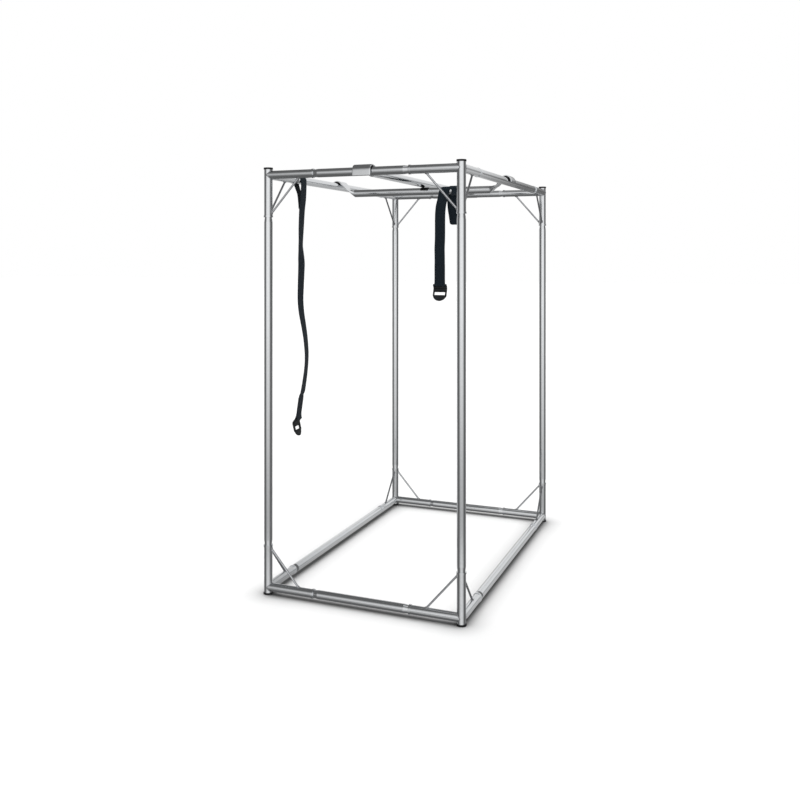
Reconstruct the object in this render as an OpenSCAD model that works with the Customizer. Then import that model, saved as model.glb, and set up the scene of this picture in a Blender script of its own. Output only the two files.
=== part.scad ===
// Box frame of a fabric enclosure: push-fit steel tube poles in welded three-way corner fittings,
// with two hook-on roof bars and two webbing hanging straps. Millimetres, +Z up, origin on the
// floor at the middle of the footprint, front towards -Y.

/* [Frame] */
// Distance between the left and right post axes
frame_w = 600; // [460:10:900]
// Distance between the front and back post axes
frame_d = 1000; // [760:10:1400]
// Height from the bottom rail axes to the top rail axes
frame_h = 1220; // [940:10:2000]

/* [Tube] */
// Outside diameter of every tube
tube_od = 25; // [22:0.5:29]
// Wall of every tube
tube_wall = 1.6; // [0.8:0.1:2]

/* [Corner fittings] */
// Length of a rail stub from the post axis to its mouth
rail_stub = 152; // [120:1:180]
// Length of a post stub from the rail axes to its mouth
post_stub = 125; // [124:1:170]
// Length of a bottom post stub below the rail axes, to its foot
foot_over = 15.5; // [15:0.5:30]
// Length of a top post stub above the rail axes, to its cap
cap_over = 16.5; // [15:0.5:30]
// How far a stub's flared lip stands out
lip_out = 1.3; // [0.2:0.1:1.5]
// Length of the flared lip
lip_len = 5; // [1:0.5:5]

/* [Poles] */
// Length of a pole's reduced end inside its stub
insert_len = 48; // [25:1:60]
// Radial clearance between a reduced end and its stub
fit_gap = 0.1; // [0.05:0.01:0.2]
// Length of the bare reduced end between the stub mouth and the shoulder
neck_len = 0.8; // [0.3:0.1:4]
// Length of the tapered shoulder
taper_len = 14; // [4:0.5:18]

/* [Gusset rods] */
// Diameter of the corner gusset rods
rod_d = 6; // [4:0.5:9]
// Height on the post stub of the rod that braces the left-right rail
x_rod_post = 126; // [90:1:128]
// Place along the left-right rail stub of that rod
x_rod_rail = 111; // [80:1:114]
// Height on the post stub of the rod that braces the front-back rail
y_rod_post = 124; // [90:1:128]
// Place along the front-back rail stub of that rod
y_rod_rail = 110; // [80:1:114]

/* [Caps and feet] */
// How far a cap's rim stands out past the tube
cap_rim = 1.25; // [0.5:0.25:3]
// Thickness of a cap's rim
cap_h = 5.5; // [2:0.5:8]
// How far a foot's rim stands out past the tube
foot_rim = 1.75; // [0.5:0.25:5]
// Height of a foot's rim
foot_h = 5; // [4:0.5:15]
// Length of the plug that holds a cap or foot in its stub
plug_len = 14; // [8:1:30]
// Bevel on a cap's or foot's rim
rim_bevel = 1; // [0.3:0.1:1.8]

/* [Roof bars] */
// Place of the cross bar along the depth, from the middle
cross_bar_y = -11; // [-200:1:200]
// Place of the depth bar across the width, from the middle
depth_bar_x = 10; // [-50:5:60]
// Height of the cross bar's axis below the rail axes
cross_bar_drop = 23.5; // [20:0.5:36]
// Vertical gap between the two bars where they cross
bar_gap = 0.6; // [0.4:0.1:6]
// Slope of the cross bar's pressed ends, in degrees
cross_bar_slope = 50; // [40:1:60]
// Slope of the depth bar's pressed ends, in degrees
depth_bar_slope = 10; // [7:1:20]

/* [Saddle hooks] */
// Width of a saddle along its rail
saddle_w = 56; // [40:1:62]
// Thickness of the rubber liner inside a saddle
liner_t = 4; // [2:0.5:6]
// Clearance between a saddle's liner and its rail
saddle_gap = 0.3; // [0.2:0.1:0.8]
// Width of the pressed tongue where it joins the round tube
tongue_w = 38; // [28:1:46]
// Length over which the tube is pressed flat
press_len = 25; // [15:1:50]
// How far the depth bar's flaps reach below the rail axis
depth_bar_flap = 12; // [5:0.5:25]
// How far the cross bar's flaps reach below the rail axis
cross_bar_flap = 2; // [1:0.5:20]

/* [Straps] */
// Width of the webbing
webbing_w = 36; // [25:1:40]
// Thickness of the webbing
webbing_t = 1.7; // [1:0.1:2]
// Clearance between the webbing and what it goes round
webbing_gap = 0.3; // [0.2:0.1:0.6]
// Place of the left strap along the left top rail, behind the front posts' axes
left_strap_in = 196; // [180:1:230]
// Place of the right strap along the cross bar, from the middle
right_strap_x = 97; // [70:1:150]
// Length of the folded and sewn end that holds a buckle
sewn_len = 72; // [40:1:76]

/* [Buckles] */
// Diameter of the buckle's top bar, which the sewn end turns on
buckle_bar_d = 6; // [4:0.5:8]
// Thickness of the buckle's plate
buckle_t = 7; // [3:0.5:8]
// Width of the buckle's side rails
buckle_rail = 5; // [3:0.5:8]
// Gap between the webbing's edges and the side rails
buckle_side_gap = 0.6; // [0.5:0.1:3]
// Height of the upper slot, which the sewn end fills
upper_slot = 2.8; // [2.4:0.2:6]
// Length from the top bar's axis to the knee, where the buckle bends
knee_at = 12.8; // [12:0.2:18]
// Lean of the part above the knee, in degrees
upper_lean = 38; // [0:1:45]
// Lean of the part below the knee, the other way
lower_lean = 13; // [0:1:30]
// Length of the toothed bar below the knee
tooth_bar = 13.5; // [8:0.5:16]
// Height of the open lower slot
lower_slot = 11; // [6:0.5:16]
// Height of the thumb tab
thumb_tab = 20; // [12:1:30]
// Diameter of the grip ridges on the toothed bar
ridge_d = 2; // [1:0.5:3]

/* [Hidden] */
$fn = 64;

// Colours of the zinc-bright steel, the black moulded plastic and rubber, and the black webbing
steel = "silver";
plastic = [0.10, 0.10, 0.11];
rubber = [0.07, 0.07, 0.07];
webbing_colour = [0.12, 0.13, 0.16];

// Sides of the frame: a corner is placed by a left-right and a front-back side
left = -1;
right = 1;
front = -1;
back = 1;
bottom = -1;
top = 1;

// Sizes that follow from the tube
bore_d = tube_od - 2 * tube_wall;
spigot_d = bore_d - 2 * fit_gap;
shoulder = insert_len + neck_len;

// Heights of the rail axes
bottom_z = foot_h + foot_over;
top_z = bottom_z + frame_h;

// Saddle radii about a rail's axis: a rubber liner inside a plate of two pressed tube walls
plate_t = 2 * tube_wall;
liner_in = tube_od / 2 + saddle_gap;
saddle_in = liner_in + liner_t;
saddle_out = saddle_in + plate_t;
saddle_mid = saddle_in + plate_t / 2;
arc_steps = 24;
depth_bar_rise = tube_od + bar_gap - cross_bar_drop;

// How far a cut runs past the face that it opens
cut = 1;

// Buckle sizes; the lower leg runs from the knee to the round end of the thumb tab
buckle_w = webbing_w + 2 * (buckle_side_gap + buckle_rail);
slot_w = webbing_w + 2 * buckle_side_gap;
lower_leg = tooth_bar + lower_slot + thumb_tab;
tab_round = thumb_tab + 2;
ridge_count = 3;
ridge_step = 2.4;
knee_rib = 0.4;
side_step = 0.3;

// The webbing's eight-sided section, with softened edges
webbing_edge = 0.5;
webbing_section = [
    for (q = [[1, 1], [-1, 1], [-1, -1], [1, -1]])
        let (side = [q[0] * webbing_w / 2, q[1] * (webbing_t / 2 - webbing_edge)],
             face = [q[0] * (webbing_w / 2 - webbing_edge), q[1] * webbing_t / 2])
        each (q[0] * q[1] > 0 ? [side, face] : [face, side])
];

// A strap runs over its tube on this radius, in steps of this angle
wrap_r = tube_od / 2 + webbing_gap + webbing_t / 2;
wrap_step = 15;
sewn_lead = 4;

// Left strap, from the rail's axis: x, z and the turn of the webbing's width about the vertical, for
// the outer tail from its end up, and for the inner drop
left_tail = [[3.2, -93, 97], [1.7, -72, 97], [-1.5, -45, 96], [-8.3, -25, 93.5], [0.45 - wrap_r, -10, 90.5]];
left_drop = [
    [13.6, -25, 90], [11.5, -60, 89], [7.5, -95, 89.5], [4.6, -150, 92], [3.3, -189, 96.5],
    [2.8, -208, 96.5], [3.9, -227, 92], [5, -248, 86], [5.7, -268, 84.5], [4.5, -303, 86],
    [3, -341, 86.7], [2.2, -379, 89], [5.4, -417, 90.5], [12.6, -456, 93.3], [19.2, -494, 96.3],
    [23.2, -532, 98.2], [24.2, -556, 99.4], [22.6, -589, 99.6], [17.7, -627, 98],
    [11.1, -665.5, 96], [8.6, -674, 96]
];
// Left buckle's top bar from the rail's axis, its turn about the vertical, and the two tilts
left_bar_at = [-6, 0, -756];
left_bar_turn = 95.5;
left_sewn_tilt = 8;
left_buckle_tilt = 0;

// Right strap, from the cross bar's axis: x, y, z of the back tail, from its end up
right_tail = [[18.3, 18.5, -112], [15, 18, -86], [10.4, 17.2, -55], [9, 16.2, -22]];
// Right strap's front drop
right_drop = [
    [-11.5, -13.9, -12], [-15.7, -14, -31], [-19.5, -14, -46], [-21.6, -14, -60], [-23, -14, -78],
    [-23.5, -14, -105], [-23.5, -14, -135], [-23.8, -14.5, -165], [-24.7, -15, -190],
    [-24.4, -15, -215]
];
// Right strap's one and a half turns round the cross bar, from its back to its front: its sideways
// run by angle, and how far it rides up on the turn below
right_wrap_end = 540;
right_wrap_x = [[0, 9], [90, 24], [180, 35], [270, 28], [360, 15], [450, 2], [540, -9]];
right_wrap_lift = [[0, 1], [150, 1], [200, 0]];
// Right buckle's top bar from the cross bar's axis, its turn and its tilt
right_bar_at = [-24.5, -14, -312];
right_bar_turn = 0;
right_sewn_tilt = 0;
right_buckle_tilt = -6;

left_strap_y = -frame_d / 2 + left_strap_in;
left_rail_at = [left * frame_w / 2, left_strap_y, top_z];
cross_bar_at = [right_strap_x, cross_bar_y, top_z - cross_bar_drop];

// Unit vector along v
function unit(v) = v / norm(v);

// Direction of a route at its point i
function heading(route, i) =
    unit(route[min(i + 1, len(route) - 1)] - route[max(i - 1, 0)]);

// Horizontal direction of a width turned by a about the vertical
function width_axis(a) = [cos(a), sin(a), 0];

// Direction up a sewn end that is turned by a and tilted by b
function sewn_axis(a, b) = [sin(b) * sin(a), -sin(b) * cos(a), cos(b)];

// The left strap's route as a list of point and turn, from its tail to its sewn end
function left_route() = concat(
    [for (p = left_tail) [left_rail_at + [p[0], 0, p[1]], p[2]]],
    [for (a = [180 : -wrap_step : 0]) [left_rail_at + wrap_r * [cos(a), 0, sin(a)], 90]],
    [for (p = left_drop) [left_rail_at + [p[0], 0, p[1]], p[2]]],
    [for (up = [sewn_len + sewn_lead, sewn_len])
        [left_rail_at + left_bar_at + up * sewn_axis(left_bar_turn, left_sewn_tilt), left_bar_turn]]
);

// The right strap's route, in the same form
function right_route() = concat(
    [for (p = right_tail) [cross_bar_at + p, 0]],
    [for (a = [0 : wrap_step : right_wrap_end])
        let (r = wrap_r + lookup(a, right_wrap_lift) * (webbing_t + webbing_gap))
        [cross_bar_at + [lookup(a, right_wrap_x), r * cos(a), r * sin(a)], 0]],
    [for (p = right_drop) [cross_bar_at + p, 0]],
    [for (up = [sewn_len + sewn_lead, sewn_len])
        [cross_bar_at + right_bar_at + up * sewn_axis(right_bar_turn, right_sewn_tilt), right_bar_turn]]
);

// Turns a shape drawn along +Z to lie along the x or y side given by its sign
module along_x(side) { rotate([0, side * 90, 0]) children(); }
module along_y(side) { rotate([-side * 90, 0, 0]) children(); }

// One stub's outside, from the fitting's middle to its flared mouth
module stub(length) {
    cylinder(h = length, d = tube_od);
    translate([0, 0, length - lip_len]) cylinder(h = lip_len, d = tube_od + 2 * lip_out);
}

// Three-way welded fitting: a post stub with two rail stubs coped onto it
module corner(x_side, y_side, z_side) {
    over = z_side > 0 ? cap_over : foot_over;
    color(steel)
    translate([x_side * frame_w / 2, y_side * frame_d / 2, z_side > 0 ? top_z : bottom_z])
    difference() {
        union() {
            rotate([z_side > 0 ? 180 : 0, 0, 0]) {
                stub(post_stub);
                translate([0, 0, -over]) cylinder(h = over, d = tube_od);
            }
            along_x(-x_side) stub(rail_stub);
            along_y(-y_side) stub(rail_stub);
        }
        rotate([z_side > 0 ? 180 : 0, 0, 0])
            translate([0, 0, -over - cut]) cylinder(h = over + post_stub + 2 * cut, d = bore_d);
        along_x(-x_side) translate([0, 0, tube_od / 2 + tube_wall]) cylinder(h = rail_stub, d = bore_d);
        along_y(-y_side) translate([0, 0, tube_od / 2 + tube_wall]) cylinder(h = rail_stub, d = bore_d);
    }
}

// A brace rod from a point up the post stub to a point along a rail stub, coped onto both
module gusset_rod(up, along) {
    reach = norm([up, along]);
    weld_gap = 0.02;
    difference() {
        translate([0, 0, up]) rotate([0, 180 - atan2(along, up), 0]) cylinder(h = reach, d = rod_d);
        translate([0, 0, up - tube_od]) cylinder(h = 2 * tube_od, d = tube_od + weld_gap);
        translate([along - tube_od, 0, 0]) rotate([0, 90, 0])
            cylinder(h = 2 * tube_od, d = tube_od + weld_gap);
    }
}

// The two brace rods of one corner fitting
module gussets(x_side, y_side, z_side) {
    color(steel)
    translate([x_side * frame_w / 2, y_side * frame_d / 2, z_side > 0 ? top_z : bottom_z])
    mirror([0, 0, z_side > 0 ? 1 : 0]) {
        rotate([0, 0, x_side > 0 ? 180 : 0]) gusset_rod(x_rod_post, x_rod_rail);
        rotate([0, 0, -90 * y_side]) gusset_rod(y_rod_post, y_rod_rail);
    }
}

// A pole between two stub mouths, drawn along +Z from its middle, with reduced ends
module pole(mouth_to_mouth) {
    half = mouth_to_mouth / 2 + insert_len;
    outer = [[spigot_d / 2, half], [spigot_d / 2, half - shoulder],
             [tube_od / 2, half - shoulder - taper_len]];
    rotate_extrude()
        polygon(concat(
            [for (p = outer) p], [for (i = [2 : -1 : 0]) [outer[i][0], -outer[i][1]]],
            [for (p = outer) [p[0] - tube_wall, -p[1]]],
            [for (i = [2 : -1 : 0]) [outer[i][0] - tube_wall, outer[i][1]]]));
}

// An upright pole
module post(x_side, y_side) {
    color(steel)
    translate([x_side * frame_w / 2, y_side * frame_d / 2, (bottom_z + top_z) / 2])
        pole(frame_h - 2 * post_stub);
}

// A rail pole that runs left to right
module rail_x(y_side, z_side) {
    color(steel)
    translate([0, y_side * frame_d / 2, z_side > 0 ? top_z : bottom_z])
        along_x(right) pole(frame_w - 2 * rail_stub);
}

// A rail pole that runs front to back
module rail_y(x_side, z_side) {
    color(steel)
    translate([x_side * frame_w / 2, 0, z_side > 0 ? top_z : bottom_z])
        along_y(back) pole(frame_d - 2 * rail_stub);
}

// A moulded stopper: a bevelled rim of height h, and a hollow plug up the stub's bore
module stopper(rim, h) {
    rim_r = tube_od / 2 + rim;
    plug_wall = 2;
    rotate_extrude()
        polygon([[0, 0], [rim_r - rim_bevel, 0], [rim_r, rim_bevel], [rim_r, h], [spigot_d / 2, h],
                 [spigot_d / 2, h + plug_len], [spigot_d / 2 - plug_wall, h + plug_len],
                 [spigot_d / 2 - plug_wall, h], [0, h]]);
}

// A floor foot
module foot(x_side, y_side) {
    color(plastic)
    translate([x_side * frame_w / 2, y_side * frame_d / 2, 0]) stopper(foot_rim, foot_h);
}

// A top cap
module cap(x_side, y_side) {
    color(plastic)
    translate([x_side * frame_w / 2, y_side * frame_d / 2, top_z + cap_over + cap_h])
        rotate([180, 0, 0]) stopper(cap_rim, cap_h);
}

// Height of a pressed plate's middle where it runs into the top of its tube
function plate_z(axis_z) = axis_z + (tube_od - plate_t) / 2;

// Where a pressed end turns level, along the bar from its rail's axis
function level_x(axis_z, slope) =
    -(saddle_mid * cos(slope) - plate_z(axis_z)) / tan(slope) - saddle_mid * sin(slope);

// Points of an arc over a rail, from the flap's side to the start of the slope
function saddle_arc(r, slope) =
    [for (i = [0 : arc_steps]) let (a = i * (90 + slope) / arc_steps) r * [cos(a), sin(a)]];

// Middle line of a pressed end: up its flap, over the rail, down the slope and level to the tube
function saddle_line(axis_z, slope, flap) = concat(
    [[saddle_mid, -flap]], saddle_arc(saddle_mid, slope),
    [for (x = [0, press_len]) [level_x(axis_z, slope) - x, plate_z(axis_z)]]
);

// A line moved sideways by d, with mitred corners
function beside(line, d) = [
    for (i = [0 : len(line) - 1])
        let (last = len(line) - 1,
             before = unit(line[max(i, 1)] - line[max(i, 1) - 1]),
             after = unit(line[min(i, last - 1) + 1] - line[min(i, last - 1)]),
             n = unit([-before[1] - after[1], before[0] + after[0]]))
        line[i] + n * d / (n * [-after[1], after[0]])
];

// One pressed end of a roof bar, with its rail's axis along Y at the origin and the bar towards -X
module saddle_end(axis_z, slope, flap) {
    line = saddle_line(axis_z, slope, flap);
    level = level_x(axis_z, slope);
    outline = concat(beside(line, plate_t / 2),
                     [for (i = [len(line) - 1 : -1 : 0]) beside(line, -plate_t / 2)[i]]);
    plan = [[saddle_out + cut, saddle_w / 2], [-saddle_in, saddle_w / 2], [level, tongue_w / 2],
            [level - press_len - cut, plate_t]];
    intersection() {
        rotate([90, 0, 0]) linear_extrude(height = saddle_w + 2 * cut, center = true) polygon(outline);
        linear_extrude(height = 2 * (saddle_w + flap), center = true)
            polygon(concat(plan, [for (i = [len(plan) - 1 : -1 : 0]) [plan[i][0], -plan[i][1]]]));
    }
}

// The rubber liner under one saddle
module saddle_liner(slope) {
    bond_gap = 0.01;
    outer = saddle_arc(saddle_in - bond_gap, slope);
    rotate([90, 0, 0]) linear_extrude(height = saddle_w, center = true)
        polygon(concat(saddle_arc(liner_in, slope), [for (i = [arc_steps : -1 : 0]) outer[i]]));
}

// Places one shape over each of a roof bar's two rails
module at_both_rails(span) {
    for (turn = [0, 180]) rotate([0, 0, turn]) translate([span / 2, 0, 0]) children();
}

// A roof bar along X: a round tube, pressed up flat towards its ends, with a saddle over each rail
module roof_bar(span, axis_z, slope, flap) {
    half = span / 2 + level_x(axis_z, slope);
    rise = tube_od / 2 - plate_t;
    round_half = half - press_len;
    side = [[half, rise], [round_half, -tube_od / 2], [-round_half, -tube_od / 2], [-half, rise],
            [-half, tube_od], [half, tube_od]];
    at_both_rails(span) saddle_end(axis_z, slope, flap);
    translate([0, 0, axis_z]) difference() {
        intersection() {
            rotate([0, 90, 0]) cylinder(h = 2 * half, d = tube_od, center = true);
            rotate([90, 0, 0]) linear_extrude(height = 2 * tube_od, center = true) polygon(side);
        }
        rotate([0, 90, 0]) cylinder(h = 2 * (round_half - tube_wall), d = bore_d, center = true);
    }
}

// The lower roof bar, over the left and right top rails
module cross_bar() {
    color(steel) translate([0, cross_bar_y, top_z])
        roof_bar(frame_w, -cross_bar_drop, cross_bar_slope, cross_bar_flap);
}

// The upper roof bar, over the front and back top rails
module depth_bar() {
    color(steel) translate([depth_bar_x, 0, top_z]) rotate([0, 0, 90])
        roof_bar(frame_d, depth_bar_rise, depth_bar_slope, depth_bar_flap);
}

// The liners of each bar's two saddles
module cross_bar_liners() {
    color(rubber) translate([0, cross_bar_y, top_z]) at_both_rails(frame_w) saddle_liner(cross_bar_slope);
}
module depth_bar_liners() {
    color(rubber) translate([depth_bar_x, 0, top_z]) rotate([0, 0, 90])
        at_both_rails(frame_d) saddle_liner(depth_bar_slope);
}

// Flat webbing along a route of points and turns
module webbing(route) {
    path = [for (r = route) r[0]];
    sides = len(webbing_section);
    last = len(path) - 1;
    points = [
        for (i = [0 : last])
            let (w = width_axis(route[i][1]), n = unit(cross(heading(path, i), w)))
            for (s = webbing_section) path[i] + s[0] * w + s[1] * n
    ];
    walls = [
        for (i = [0 : last - 1], j = [0 : sides - 1])
            let (a = i * sides + j, b = i * sides + (j + 1) % sides)
            each [[a, a + sides, b], [b, a + sides, b + sides]]
    ];
    start = [for (j = [1 : sides - 2]) [0, j, j + 1]];
    end = [for (j = [1 : sides - 2]) [last * sides, last * sides + j + 1, last * sides + j]];
    polyhedron(points = points, faces = concat(walls, start, end));
}

// The folded end of a strap, sewn double and turned round a buckle's top bar
module sewn_end() {
    inner_d = buckle_bar_d + 2 * webbing_gap;
    along_y(back) difference() {
        cylinder(h = webbing_w, d = inner_d + 2 * webbing_t, center = true);
        cylinder(h = webbing_w + 2 * cut, d = inner_d, center = true);
    }
    difference() {
        translate([-webbing_t, -webbing_w / 2, 0]) cube([2 * webbing_t, webbing_w, sewn_len]);
        along_y(back) cylinder(h = webbing_w + 2 * cut, d = inner_d, center = true);
    }
}

// One flat leg of a buckle, drawn across its width and down from zero height
module buckle_leg() {
    rotate([90, 0, 90]) linear_extrude(height = buckle_t, center = true) children();
}

// The buckle's leg below its knee: toothed bar, open slot and round thumb tab
module buckle_lower_leg() {
    buckle_leg() difference() {
        polygon(concat(
            [[-buckle_w / 2, 0], [buckle_w / 2, 0]],
            [for (a = [0 : -7.5 : -180])
                [buckle_w / 2 * cos(a), tab_round - lower_leg + tab_round * sin(a)]]));
        translate([-slot_w / 2, -tooth_bar - lower_slot]) square([slot_w, lower_slot]);
    }
    for (i = [1 : ridge_count])
        translate([buckle_t / 2, 0, -tooth_bar + i * ridge_step])
            along_y(back) cylinder(h = slot_w, d = ridge_d, center = true);
}

// A ladder-lock buckle that hangs from its top bar, with its face towards +X and its knee behind
module buckle() {
    upper_w = buckle_w - 2 * side_step;
    bar_w = upper_w - 2 * side_step;
    along_y(back) cylinder(h = bar_w, d = buckle_bar_d, center = true);
    rotate([0, upper_lean, 0]) {
        buckle_leg() difference() {
            translate([-upper_w / 2, -knee_at]) square([upper_w, knee_at]);
            translate([-slot_w / 2, -buckle_bar_d / 2 - upper_slot])
                square([slot_w, buckle_bar_d / 2 + upper_slot + cut]);
        }
        translate([0, 0, -knee_at]) {
            along_y(back) cylinder(h = bar_w, d = buckle_t + 2 * knee_rib, center = true);
            rotate([0, -upper_lean - lower_lean, 0]) buckle_lower_leg();
        }
    }
}

// Places a buckle or a sewn end by its top bar, its turn and its tilt
module at_bar(place, turn, tilt) {
    translate(place) rotate([0, 0, turn - 90]) rotate([0, tilt, 0]) children();
}

module left_strap() { color(webbing_colour) webbing(left_route()); }
module left_strap_loop() {
    color(webbing_colour) at_bar(left_rail_at + left_bar_at, left_bar_turn, left_sewn_tilt) sewn_end();
}
module left_buckle() {
    color(plastic) at_bar(left_rail_at + left_bar_at, left_bar_turn, left_buckle_tilt) buckle();
}
module right_strap() { color(webbing_colour) webbing(right_route()); }
module right_strap_loop() {
    color(webbing_colour) at_bar(cross_bar_at + right_bar_at, right_bar_turn, right_sewn_tilt) sewn_end();
}
module right_buckle() {
    color(plastic) at_bar(cross_bar_at + right_bar_at, right_bar_turn, right_buckle_tilt) buckle();
}

foot(left, front);  // front_left_foot
foot(right, front);  // front_right_foot
foot(left, back);  // back_left_foot
foot(right, back);  // back_right_foot
corner(left, front, bottom);  // front_left_bottom_corner
corner(right, front, bottom);  // front_right_bottom_corner
corner(left, back, bottom);  // back_left_bottom_corner
corner(right, back, bottom);  // back_right_bottom_corner
gussets(left, front, bottom);  // front_left_bottom_gussets
gussets(right, front, bottom);  // front_right_bottom_gussets
gussets(left, back, bottom);  // back_left_bottom_gussets
gussets(right, back, bottom);  // back_right_bottom_gussets
rail_x(front, bottom);  // front_bottom_rail
rail_x(back, bottom);  // back_bottom_rail
rail_y(left, bottom);  // left_bottom_rail
rail_y(right, bottom);  // right_bottom_rail
post(left, front);  // front_left_post
post(right, front);  // front_right_post
post(left, back);  // back_left_post
post(right, back);  // back_right_post
corner(left, front, top);  // front_left_top_corner
corner(right, front, top);  // front_right_top_corner
corner(left, back, top);  // back_left_top_corner
corner(right, back, top);  // back_right_top_corner
gussets(left, front, top);  // front_left_top_gussets
gussets(right, front, top);  // front_right_top_gussets
gussets(left, back, top);  // back_left_top_gussets
gussets(right, back, top);  // back_right_top_gussets
rail_x(front, top);  // front_top_rail
rail_x(back, top);  // back_top_rail
rail_y(left, top);  // left_top_rail
rail_y(right, top);  // right_top_rail
cap(left, front);  // front_left_cap
cap(right, front);  // front_right_cap
cap(left, back);  // back_left_cap
cap(right, back);  // back_right_cap
cross_bar();
cross_bar_liners();
depth_bar();
depth_bar_liners();
left_strap();
left_strap_loop();
left_buckle();
right_strap();
right_strap_loop();
right_buckle();
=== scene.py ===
"""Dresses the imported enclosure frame: zinc-plated tube, pressed roof bars, webbing straps and plastics.

All sizes are in metres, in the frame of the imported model: +X right, +Y from front to back, +Z up.
"""

import enum
import logging
import math
from dataclasses import dataclass, field

import bpy
import numpy as np
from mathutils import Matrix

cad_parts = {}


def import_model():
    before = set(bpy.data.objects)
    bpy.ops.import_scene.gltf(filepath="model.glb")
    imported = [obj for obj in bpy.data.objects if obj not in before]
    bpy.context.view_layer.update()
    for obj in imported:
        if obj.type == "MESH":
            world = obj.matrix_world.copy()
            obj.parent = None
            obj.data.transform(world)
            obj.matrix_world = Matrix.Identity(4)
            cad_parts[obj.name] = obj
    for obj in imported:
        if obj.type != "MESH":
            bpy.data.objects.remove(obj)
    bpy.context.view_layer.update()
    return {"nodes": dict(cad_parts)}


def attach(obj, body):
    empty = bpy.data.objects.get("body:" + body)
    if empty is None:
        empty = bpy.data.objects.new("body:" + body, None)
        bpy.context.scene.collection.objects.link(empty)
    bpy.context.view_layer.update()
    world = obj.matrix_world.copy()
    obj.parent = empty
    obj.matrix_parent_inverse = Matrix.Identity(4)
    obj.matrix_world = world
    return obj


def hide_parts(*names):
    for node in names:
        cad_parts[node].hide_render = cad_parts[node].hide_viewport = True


MM = 0.001
LOG = logging.getLogger("enclosure_frame")

# Driving sizes, as in the part's own source
FRAME_W = 600 * MM
FRAME_D = 1000 * MM
TUBE_R = 12.5 * MM
TUBE_WALL = 1.6 * MM
BOTTOM_Z = 20.5 * MM
TOP_Z = 1240.5 * MM
CROSS_BAR_Y = -11 * MM
CROSS_BAR_DROP = 23.5 * MM
DEPTH_BAR_X = 10 * MM
DEPTH_BAR_RISE = 2.1 * MM
WEBBING_W = 36 * MM
WEBBING_T = 1.7 * MM
WEBBING_GAP = 0.3 * MM
BUCKLE_BAR_R = 3 * MM
SEWN_LEN = 72 * MM
SEWN_LEAD = 4 * MM

X_AXIS, Y_AXIS, Z_AXIS = np.eye(3)
# Map Range's first two limits for the middle of a noise, which nearly all of it falls in
NOISE_SPAN = {1: 0.3, 2: 0.7}


class Axis(enum.Enum):
    """The direction that a tube runs in."""

    X = 0
    Y = 1
    Z = 2


def linear(hex_colour: str) -> tuple[float, float, float, float]:
    """Turns an sRGB hex colour into a linear RGBA colour.

    Args:
        hex_colour: Six hex digits after a hash sign.

    Returns:
        The linear red, green and blue, and an alpha of one.
    """
    parts = [int(hex_colour[i : i + 2], 16) / 255 for i in (1, 3, 5)]
    curve = [c / 12.92 if c <= 0.04045 else ((c + 0.055) / 1.055) ** 2.4 for c in parts]
    return (*curve, 1.0)


def add_node(tree: bpy.types.NodeTree, kind: str, settings: dict, links: dict) -> bpy.types.Node:
    """Adds one node with its settings and its incoming links.

    Args:
        tree: The node tree to add to.
        kind: The node's type name, after ShaderNode.
        settings: Node properties by name, and input values by socket name or number.
        links: What feeds each input, by its name or number: an output, or a node for its first output.

    Returns:
        The new node.
    """
    node = tree.nodes.new(f"ShaderNode{kind}")
    for name, value in settings.items():
        if isinstance(name, str) and hasattr(node, name):
            setattr(node, name, value)
        else:
            node.inputs[name].default_value = value
    for name, source in links.items():
        output = source.outputs[0] if isinstance(source, bpy.types.Node) else source
        tree.links.new(output, node.inputs[name])
    return node


def new_material(name: str) -> tuple[bpy.types.Material, bpy.types.NodeTree, bpy.types.Node]:
    """Makes an empty node material.

    Args:
        name: The material's name.

    Returns:
        The material, its node tree and its output node.
    """
    material = bpy.data.materials.new(name)
    material.use_nodes = True
    tree = material.node_tree
    tree.nodes.clear()
    return material, tree, add_node(tree, "OutputMaterial", {}, {})


def lay_surface(
    tree: bpy.types.NodeTree,
    out: bpy.types.Node,
    colours: tuple[str, str],
    share: bpy.types.Node,
    relief: tuple[float, float],
    height: bpy.types.Node,
    settings: dict,
    links: dict,
) -> None:
    """Ends a finish with its shader: one pattern mixes two colours, and another gives the bump.

    Args:
        tree: The material's node tree.
        out: Its output node.
        colours: The two sRGB hex colours.
        share: The pattern that gives the second colour's share.
        relief: The bump's strength and depth.
        height: The pattern that gives the bump's height.
        settings: The shader's other values.
        links: What feeds the shader's other inputs.
    """
    ends = {"data_type": "RGBA", 6: linear(colours[0]), 7: linear(colours[1])}
    tint = add_node(tree, "Mix", ends, {0: share}).outputs[2]
    depth = {"Strength": relief[0], "Distance": relief[1]}
    bump = add_node(tree, "Bump", depth, {"Height": height})
    links = {"Base Color": tint, "Normal": bump, **links}
    shader = add_node(tree, "BsdfPrincipled", settings, links)
    tree.links.new(shader.outputs[0], out.inputs[0])


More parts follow.
